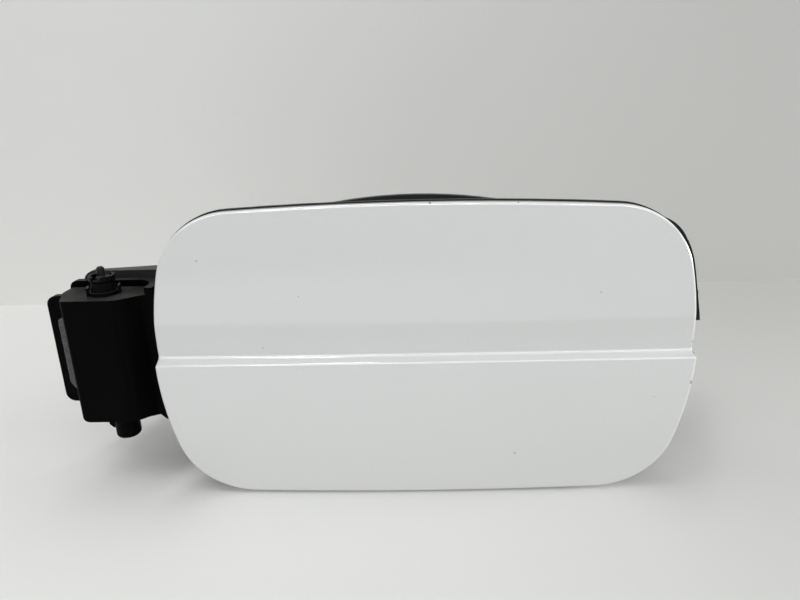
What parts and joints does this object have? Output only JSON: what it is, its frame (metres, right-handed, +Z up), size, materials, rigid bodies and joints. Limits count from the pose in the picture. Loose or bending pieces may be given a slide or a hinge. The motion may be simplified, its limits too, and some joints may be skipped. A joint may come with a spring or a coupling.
{
  "type": "car fuel door",
  "caption": "White painted car fuel flap on a black gooseneck hinge, with its moulded filler bowl, sliding pin lock and snap hinge.",
  "frame": {"origin": "on the filler neck's axis, in the plane where the back of the bowl's flange seats on the car body", "axes": "+Z up as pictured, +Y into the car along the filler neck, +X from the hinge towards the free edge"},
  "size_m": [0.2776, 0.0981, 0.1196],
  "materials": {
    "white_paint": "gloss white body paint with a clear coat",
    "carrier_plastic": "moulded black plastic, satin",
    "arm_plastic": "glass filled black plastic, satin",
    "box_plastic": "moulded black plastic, satin",
    "bowl_plastic": "moulded black plastic, fine grain",
    "bush_plastic": "black bearing plastic, satin",
    "pin_steel": "black coated steel",
    "spring_steel": "bare spring steel",
    "screw_steel": "zinc plated steel",
    "seal_rubber": "black rubber, matt",
    "grey_foam": "closed cell foam, dark grey",
    "lock_plastic": "moulded black plastic, matt",
    "lock_pin_plastic": "pale natural bearing plastic"
  },
  "bodies": {
    "bowl": {"hinge_housing": "box_plastic", "foam_strip": "grey_foam", "upper_bush": "bush_plastic", "hinge_pin": "pin_steel", "hinge_spring": "spring_steel", "housing_screws": "screw_steel", "filler_bowl": "bowl_plastic", "neck_seal": "seal_rubber", "rim_seal": "seal_rubber", "body_clips": "spring_steel", "lock_housing": "lock_plastic", "lock_cover": "lock_plastic", "lock_grommet": "seal_rubber", "lock_screws": "screw_steel"},
    "door": {"outer_panel": "white_paint", "inner_carrier": "carrier_plastic", "hinge_arm": "arm_plastic", "arm_screws": "screw_steel", "bump_stops": "seal_rubber"},
    "lock": {"lock_pin": "lock_pin_plastic"}
  },
  "joints": [
    {"name": "door_hinge", "type": "hinge", "parent": "bowl", "child": "door", "pos_m": [-0.1271, -0.016, -0.00345], "axis": [0, 0, -1], "range_deg": [0, 80], "deforming": ["hinge_spring"]},
    {"name": "lock_slide", "type": "slide", "parent": "bowl", "child": "lock", "axis": [-1, 0, 0], "range_m": [0, 0.01]}
  ]
}
